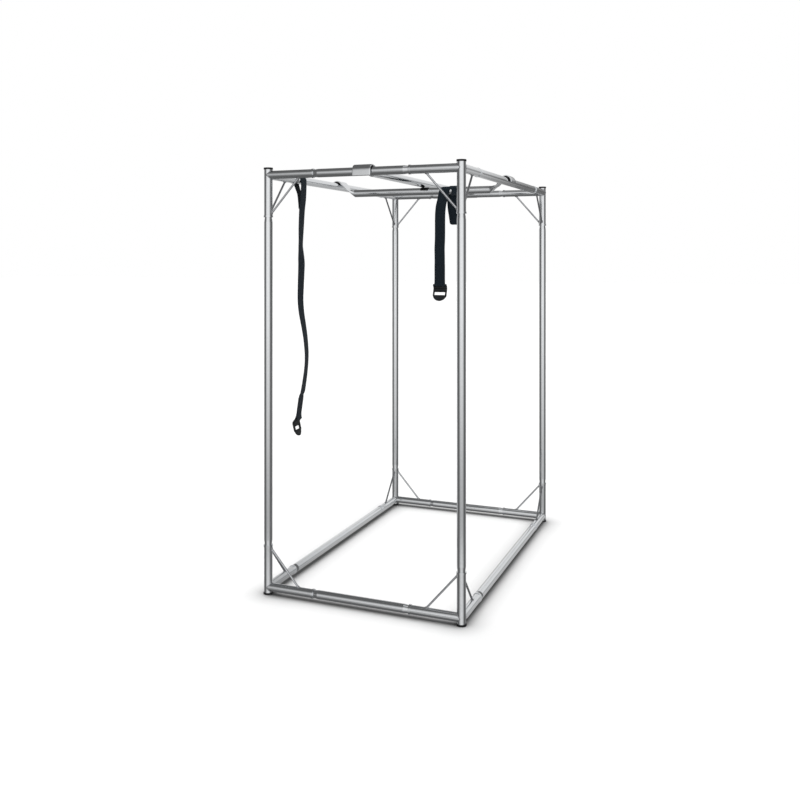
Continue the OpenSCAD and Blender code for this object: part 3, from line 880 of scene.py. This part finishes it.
@dataclass
class Buckle:
    """A ladder-lock buckle: a top bar, two side rails, a toothed bar at its knee and a curled thumb tab.

    It is drawn flat, then bent: heights below the top bar become distances down the bent line.
    """

    name: str
    hang: BuckleFrame
    rail_w: float = 5 * MM
    plate_t: float = 7 * MM
    half_w: float = 23.6 * MM
    upper_slot: float = 2.8 * MM
    tooth_bar: float = 20.5 * MM
    lower_slot: float = 11 * MM
    thumb_tab: float = 20 * MM
    knee_at: float = 12.8 * MM
    knee_half: float = 4 * MM
    upper_lean: float = math.radians(38)
    lower_lean: float = math.radians(13)
    ridge: float = 0.9 * MM
    rib: float = 0.35 * MM
    curl: float = 2.6 * MM

    def tab_top(self) -> float:
        """Gives the height of the thumb tab's upper edge."""
        return -(BUCKLE_BAR_R + self.upper_slot + self.tooth_bar + self.lower_slot)

    def bent(self, flat: np.ndarray) -> np.ndarray:
        """Bends flat points of face, width and height about the knee and places them.

        Args:
            flat: Points of the flat buckle, with the top bar at zero height.

        Returns:
            The points in the frame.
        """
        down = np.linspace(-6 * MM, 60 * MM, 331)
        step = down[1] - down[0]
        past = smoothstep(self.knee_at - self.knee_half, self.knee_at + self.knee_half, down)
        lean = -self.upper_lean + (self.upper_lean + self.lower_lean) * past
        line = np.cumsum(np.stack([np.sin(lean), -np.cos(lean)], axis=1) * step, axis=0)
        line -= [np.interp(0, down, line[:, 0]), np.interp(0, down, line[:, 1])]
        at = -flat[..., 2]
        angle = np.interp(at, down, lean)
        face = np.interp(at, down, line[:, 0]) + flat[..., 0] * np.cos(angle)
        up = np.interp(at, down, line[:, 1]) + flat[..., 0] * np.sin(angle)
        return self.hang.place(np.stack([face, flat[..., 1], up], axis=-1))

    def bar(self, shell: Shell, z: float, half_h: float, half_t: float, power: float, ridges: int) -> None:
        """Runs a bar across the buckle, with rounded ends and grip ridges along its front.

        Args:
            shell: The mesh that takes the bar.
            z: The bar's height.
            half_h: Half its height.
            half_t: Half its thickness.
            power: How square its section is.
            ridges: How many ridges its front has.
        """
        span = np.linspace(-1, 1, 21)
        centres = np.stack([np.zeros(21), span * (self.half_w - 0.6 * MM), np.full(21, z)], axis=1)
        ends = np.sqrt(np.clip(1 - span**30, 0.35, None))
        loops = superellipse(centres, Z_AXIS, X_AXIS, half_h * ends, half_t * ends, power, 72)
        if ridges:
            height = (loops[..., 2] - z) / half_h
            tooth = (1 - np.cos(math.pi * ridges * (height + 1))) / 2
            loops[..., 0] += np.where(loops[..., 0] > 0.3 * half_t, self.ridge * tooth, 0)
        shell.add_loops(self.bent(loops))

    def side_rail(self, shell: Shell, side: int) -> None:
        """Runs one side rail down from the top bar to the thumb tab, rounded over at its top."""
        z = np.linspace(BUCKLE_BAR_R - 0.2 * MM, self.tab_top() - 3 * MM, 24)
        fall = np.clip((BUCKLE_BAR_R - z) / (2.6 * MM), 0, 1)
        ends = np.sqrt(np.clip(1 - (1 - fall) ** 2, 0.08, None))
        centres = np.stack([np.zeros(24), np.full(24, side * (self.half_w - self.rail_w / 2)), z], axis=1)
        half_w, half_t = self.rail_w / 2 * ends, self.plate_t / 2 * ends
        loops = superellipse(centres, Y_AXIS, X_AXIS, half_w, half_t, 4.0, 28)
        shell.add_loops(self.bent(loops))

    def tab(self, shell: Shell) -> None:
        """Forms the thumb tab: a round-ended plate that thins and curls forward, with grip ribs."""
        top = self.tab_top()
        bottom = top - self.thumb_tab
        z = top + (bottom - top) * np.sin(np.linspace(0, math.pi / 2, 30)) * 0.999
        round_h = self.thumb_tab + 2 * MM
        rise = np.minimum(z - (bottom + round_h), 0) / round_h
        half_w = self.half_w * np.sqrt(np.clip(1 - rise**2, 0.001, None))
        fall = (top - z) / self.thumb_tab
        half_t = self.plate_t / 2 * (1 - 0.45 * fall)
        curl = self.curl * fall**2
        ribs = self.rib * np.clip(np.sin(2 * math.pi * 4 * fall), 0, None) * (fall > 0.2)
        centres = np.stack([curl, np.zeros(30), z], axis=1)
        loops = superellipse(centres, Y_AXIS, X_AXIS, half_w, half_t, 5.0, 64)
        loops[..., 0] += np.where(loops[..., 0] > curl[:, None], ribs[:, None], 0)
        shell.add_loops(self.bent(loops))

    def make(self, finish: bpy.types.Material) -> bpy.types.Object:
        """Builds the buckle in place of its CAD node.

        Args:
            finish: The plastic.

        Returns:
            The piece, riding with its body.
        """
        shell = Shell(f"{self.name}_moulding")
        self.bar(shell, 0.0, BUCKLE_BAR_R, BUCKLE_BAR_R, 2.0, 0)
        tooth_z = -(BUCKLE_BAR_R + self.upper_slot + self.tooth_bar / 2)
        self.bar(shell, tooth_z, self.tooth_bar / 2, self.plate_t / 2, 4.0, 3)
        for side in (-1, 1):
            self.side_rail(shell, side)
        self.tab(shell)
        return settle(shell.build(finish), self.name, "buckle_plastic", self.name)


@dataclass
class PhotoCamera:
    """A level camera at the photograph's viewing angle."""

    place: tuple[float, float, float] = (1.0207, -2.7490, 0.9995)
    turn_deg: float = 21.81
    lens: float = 39.12
    shift_y: float = -0.1795
    sensor: float = 36.0

    def make(self) -> None:
        """Creates the camera and makes it the scene's own."""
        data = bpy.data.cameras.new("photo_camera")
        data.lens, data.sensor_width, data.shift_y = self.lens, self.sensor, self.shift_y
        camera = bpy.data.objects.new("photo_camera", data)
        camera.location = self.place
        camera.rotation_euler = (math.pi / 2, 0, math.radians(self.turn_deg))
        bpy.context.scene.collection.objects.link(camera)
        bpy.context.scene.camera = camera


@dataclass(frozen=True)
class Softbox:
    """A soft lit patch of the surround, or with a negative strength a dark card.

    Start and full are the cosines, from its middle, where its light starts and is full. The heights pair a
    look direction's height with the share of light there.
    """

    azimuth_deg: float
    strength: float
    start: float
    full: float
    heights: tuple[tuple[float, float], ...] = ()
    elevation_deg: float = 0.0

    def add(
        self, tree: bpy.types.NodeTree, look: bpy.types.NodeSocket, height: bpy.types.Node
    ) -> bpy.types.Node:
        """Adds the patch's light for a look direction.

        Args:
            tree: The world's node tree.
            look: The direction that a ray leaves in.
            height: That direction's height, from 0 straight down to 1 straight up.

        Returns:
            The patch's brightness.
        """
        turn, rise = math.radians(self.azimuth_deg), math.radians(self.elevation_deg)
        middle = (math.cos(rise) * math.sin(turn), -math.cos(rise) * math.cos(turn), math.sin(rise))
        dot = add_node(tree, "VectorMath", {"operation": "DOT_PRODUCT", 1: middle}, {0: look})
        fade = {"interpolation_type": "SMOOTHSTEP", 1: self.start, 2: self.full, 4: self.strength}
        lit = add_node(tree, "MapRange", fade, {0: dot.outputs["Value"]})
        if not self.heights:
            return lit
        ramp = add_node(tree, "ValToRGB", {}, {0: height})
        stops = ramp.color_ramp.elements
        for z, level in self.heights[1:-1]:
            stops.new((z + 1) / 2).color = (level, level, level, 1)
        for stop, (z, level) in ((stops[0], self.heights[0]), (stops[-1], self.heights[-1])):
            stop.position, stop.color = (z + 1) / 2, (level, level, level, 1)
        return add_node(tree, "Math", {"operation": "MULTIPLY"}, {0: lit, 1: ramp})


@dataclass
class Studio:
    """A white floor and a dim surround with soft lit patches, which the metal mirrors."""

    facing_deg: float
    ambient: float = 0.31
    sun: float = 0.85
    sun_angle_deg: float = 75.0
    flag: float = 0.135
    paper: float = 0.97
    contact: float = 1.25
    contact_reach: float = 0.07
    lean_deg: tuple[float, float] = (-13.0, 35.0)
    lamp_z: float = 4.0
    floor_size: float = 60.0
    # The near floor dims the front patch, and the floor's far edge draws a dark line across the back one
    front_heights: tuple[tuple[float, float], ...] = (
        (-1.0, 0.8), (-0.334, 0.8), (-0.301, 0.42), (-0.052, 1.0)
    )
    back_heights: tuple[tuple[float, float], ...] = (
        (-1.0, 0.6), (-0.3, 0.6), (-0.13, 0.85), (-0.07, 0.5), (0.06, 0.5), (0.18, 1.0)
    )

    def patches(self) -> tuple[Softbox, ...]:
        """Lists the patch behind the camera, the left-back one, the back ring, its dark card and the top."""
        return (
            Softbox(self.facing_deg, 1.0, 0.22, 0.98, self.front_heights),
            Softbox(240.0, 0.6, 0.8, 0.97),
            Softbox(180.0, 0.82, 0.72, 0.875, self.back_heights),
            Softbox(180.0, -0.6, 0.95, 0.974),
            Softbox(0.0, 0.7, 0.92, 0.985, elevation_deg=90.0),
        )

    def mirrored(self, tree: bpy.types.NodeTree) -> bpy.types.Node:
        """Sums what a mirror sees of the surround: the patches, and the flags' level at least.

        Args:
            tree: The world's node tree.

        Returns:
            The brightness in the look direction.
        """
        look = add_node(tree, "TexCoord", {}, {}).outputs["Generated"]
        rise = add_node(tree, "SeparateXYZ", {}, {0: look}).outputs[2]
        height = add_node(tree, "MapRange", {1: -1.0, 2: 1.0}, {0: rise})
        total, *others = (patch.add(tree, look, height) for patch in self.patches())
        for light in others:
            total = add_node(tree, "Math", {"operation": "ADD"}, {0: total, 1: light})
        return add_node(tree, "Math", {"operation": "MAXIMUM", 1: self.flag}, {0: total})

    def world(self) -> None:
        """Lights the set: white to the camera, an even fill for matt things, and the patches for mirrors."""
        world = bpy.data.worlds.new("white_studio")
        world.use_nodes = True
        tree = world.node_tree
        tree.nodes.clear()
        path = add_node(tree, "LightPath", {}, {}).outputs
        camera, glossy, clear = (path[f"Is {kind} Ray"] for kind in ("Camera", "Glossy", "Transmission"))
        white = {"Color": (1, 1, 1, 1)}
        seen = add_node(tree, "Math", {"operation": "MAXIMUM"}, {0: self.mirrored(tree), 1: camera})
        fill = add_node(tree, "Background", {**white, "Strength": self.ambient}, {})
        surround = add_node(tree, "Background", white, {"Strength": seen})
        mirror = add_node(tree, "Math", {"operation": "ADD"}, {0: glossy, 1: clear})
        clamped = {"operation": "ADD", "use_clamp": True}
        shows = add_node(tree, "Math", clamped, {0: mirror, 1: camera})
        mix = add_node(tree, "MixShader", {}, {0: shows, 1: fill, 2: surround})
        add_node(tree, "OutputWorld", {}, {0: mix})
        bpy.context.scene.world = world

    def lamp(self) -> None:
        """Hangs one broad soft light overhead, leaning in from the back left, which mirrors don't show."""
        data = bpy.data.lights.new("overhead_softbox", "SUN")
        data.energy = self.sun * math.pi
        data.angle = math.radians(self.sun_angle_deg)
        lamp = bpy.data.objects.new("overhead_softbox", data)
        lamp.location = (0, 0, self.lamp_z)
        lamp.rotation_euler = (math.radians(self.lean_deg[0]), 0, math.radians(self.lean_deg[1]))
        lamp.visible_glossy = False
        bpy.context.scene.collection.objects.link(lamp)

    def floor(self) -> None:
        """Lays a pale matt floor that takes the shadow and stays out of mirrors, which the surround fills."""
        material, tree, out = new_material("white_paper_floor")
        # Shade gathers where the frame comes close to the paper, deeper than the soft light alone gives
        reach = {"Distance": self.contact_reach, "samples": 16}
        near = add_node(tree, "AmbientOcclusion", reach, {}).outputs["AO"]
        shade = add_node(tree, "Math", {"operation": "POWER", 1: self.contact}, {0: near})
        tone = add_node(tree, "Math", {"operation": "MULTIPLY", 1: self.paper}, {0: shade})
        paper = add_node(tree, "BsdfDiffuse", {}, {"Color": tone})
        tree.links.new(paper.outputs[0], out.inputs[0])
        corners = np.array([(-1, -1, 0), (1, -1, 0), (1, 1, 0), (-1, 1, 0)]) * self.floor_size / 2
        mesh = bpy.data.meshes.new("studio_floor")
        mesh.from_pydata(corners.tolist(), [], [(0, 1, 2, 3)])
        mesh.materials.append(material)
        floor = bpy.data.objects.new("studio_floor", mesh)
        floor.visible_glossy = False
        bpy.context.scene.collection.objects.link(floor)

    def make(self) -> None:
        """Builds the world, the lamp and the floor."""
        self.world()
        self.lamp()
        self.floor()
        bpy.context.scene.view_settings.view_transform = "Standard"


def left_strap() -> tuple[Strap, BuckleFrame]:
    """Lays the left strap over the left top rail: tail outside, long drop inside.

    Returns:
        The strap, and the frame that its buckle hangs in.
    """
    rail = np.array([-FRAME_W / 2, -304 * MM, TOP_Z])
    sewn_turn = 95.5
    # Rows of millimetres right of the rail's axis and above it, and the width's turn in degrees
    tail = np.array([[3.2, -93, 97], [1.7, -72, 97], [-1.5, -45, 96], [-8.3, -25, 93.5], [-13.2, -10, 90.5]])
    turn = np.radians(np.arange(180, -1, -15))
    over = (TUBE_R + WEBBING_GAP + WEBBING_T / 2) * np.stack([np.cos(turn), np.sin(turn)], axis=1)
    drop = np.array(
        [
            [13.6, -25, 90], [11.5, -60, 89], [7.5, -95, 89.5], [4.6, -150, 92], [3.3, -189, 96.5],
            [2.8, -208, 96.5], [3.9, -227, 92], [5, -248, 86], [5.7, -268, 84.5], [4.5, -303, 86],
            [3, -341, 86.7], [2.2, -379, 89], [5.4, -417, 90.5], [12.6, -456, 93.3], [19.2, -494, 96.3],
            [23.2, -532, 98.2], [24.2, -556, 99.4], [22.6, -589, 99.6], [17.7, -627, 98], [11.1, -665.5, 96],
            [8.6, -674, 96],
        ]
    )
    flat = np.vstack([tail[:, :2] * MM, over, drop[:, :2] * MM])
    route = rail + np.column_stack([flat[:, 0], np.zeros(len(flat)), flat[:, 1]])
    turns = np.concatenate([tail[:, 2], np.full(len(over), 90.0), drop[:, 2]])
    bar = rail + np.array([-6, 0, -756]) * MM
    sewn = BuckleFrame(bar, sewn_turn, 8)
    lead = sewn.place(np.array([[0, 0, SEWN_LEN + SEWN_LEAD], [0.3 * MM, 0, SEWN_LEN]]))
    turns = np.append(turns, [sewn_turn] * 2)
    strap = Strap("left_strap", np.vstack([route, lead]), turns, sewn, "left_top_rail")
    return strap, BuckleFrame(bar, sewn_turn, 0)


def right_strap() -> tuple[Strap, BuckleFrame]:
    """Winds the right strap one and a half turns round the cross bar: tail behind, drop in front.

    Returns:
        The strap, and the frame that its buckle hangs in.
    """
    tube = np.array([97 * MM, CROSS_BAR_Y, TOP_Z - CROSS_BAR_DROP])
    # Rows of millimetres right of the middle of the lap, behind the bar's axis and above it
    tail = np.array([[18.3, 18.5, -112], [15, 18, -86], [10.4, 17.2, -55], [9, 16.2, -22]]) * MM
    turn_deg = np.arange(0, 541, 15)
    # The first turn rides up on the second where they cross
    lift = np.interp(turn_deg, [150, 200], [1, 0]) * (WEBBING_T + WEBBING_GAP)
    sideways = np.interp(turn_deg, np.arange(0, 541, 90), [9, 24, 35, 28, 15, 2, -9]) * MM
    radius, turn = TUBE_R + WEBBING_GAP + WEBBING_T / 2 + lift, np.radians(turn_deg)
    over = np.column_stack([sideways, radius * np.cos(turn), radius * np.sin(turn)])
    drop = np.array(
        [
            [-11.5, -13.9, -12], [-15.7, -14, -31], [-19.5, -14, -46], [-21.6, -14, -60], [-23, -14, -78],
            [-23.5, -14, -105], [-23.5, -14, -135], [-23.8, -14.5, -165], [-24.7, -15, -190],
            [-24.4, -15, -215],
        ]
    ) * MM
    route = tube + np.vstack([tail, over, drop])
    bar = tube + np.array([-24.5, -14, -312]) * MM
    sewn = BuckleFrame(bar, 0, 0)
    lead = sewn.place(np.array([[0, 0, SEWN_LEN + SEWN_LEAD], [0.3 * MM, 0, SEWN_LEN]]))
    route = np.vstack([route, lead])
    strap = Strap("right_strap", route, np.zeros(len(route)), sewn, "cross_bar_pressed_tube")
    return strap, BuckleFrame(bar, 0, -6)


def stoppers() -> list[Stopper]:
    """Lists the four top caps and the four feet."""
    cap = {"up": -1, "rim_r": 13.75 * MM, "rim_h": 5.5 * MM, "grooves": 0}
    foot = {"up": 1, "rim_r": 14.25 * MM, "rim_h": 5 * MM, "grooves": 2}
    cap_z = TOP_Z + 22 * MM
    made = []
    for y, depth in ((-1, "front"), (1, "back")):
        for x, side in ((-1, "left"), (1, "right")):
            at = (x * FRAME_W / 2, y * FRAME_D / 2)
            made.append(Stopper(f"{depth}_{side}_cap", "top_ring", "cap_plastic", (*at, cap_z), **cap))
            made.append(Stopper(f"{depth}_{side}_foot", "base", "foot_plastic", (*at, 0.0), **foot))
    return made


def main() -> None:
    """Loads the frame, makes the camera and straps first, then every other piece and the studio."""
    logging.basicConfig(level=logging.INFO, format="%(message)s")
    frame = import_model()
    camera = PhotoCamera()
    camera.make()

    cross_mid, depth_mid = (0, CROSS_BAR_Y, TOP_Z), (DEPTH_BAR_X, 0, TOP_Z)
    bar_steel = BAR_STEEL.material()
    for bar in (
        RoofBar("cross_bar", FRAME_W, -CROSS_BAR_DROP, math.radians(50), 2 * MM, cross_mid, along_y=False),
        RoofBar("depth_bar", FRAME_D, DEPTH_BAR_RISE, math.radians(10), 12 * MM, depth_mid, along_y=True),
    ):
        bar.make(bar_steel)

    webbing, thread = STRAP_WEBBING.material(), SEWING_THREAD.material()
    plastic = BUCKLE_PLASTIC.material()
    for strap, hang in (left_strap(), right_strap()):
        strap.make(webbing, thread)
        Buckle(strap.name.replace("strap", "buckle"), hang).make(plastic)

    rubber = LINER_RUBBER.material()
    RestPad().make(rubber)
    TubeFrame(frame["nodes"]).dress(rubber)
    weld = WELD_STEEL.material()
    for z in (-1, 1):
        for y in (-1, 1):
            for x in (-1, 1):
                Welds(x, y, z).make(weld)
    cap, foot = CAP_PLASTIC.material(), FOOT_PLASTIC.material()
    for stopper in stoppers():
        stopper.make(cap if stopper.slot == "cap_plastic" else foot)

    Studio(camera.turn_deg).make()


if __name__ == "__main__":
    main()
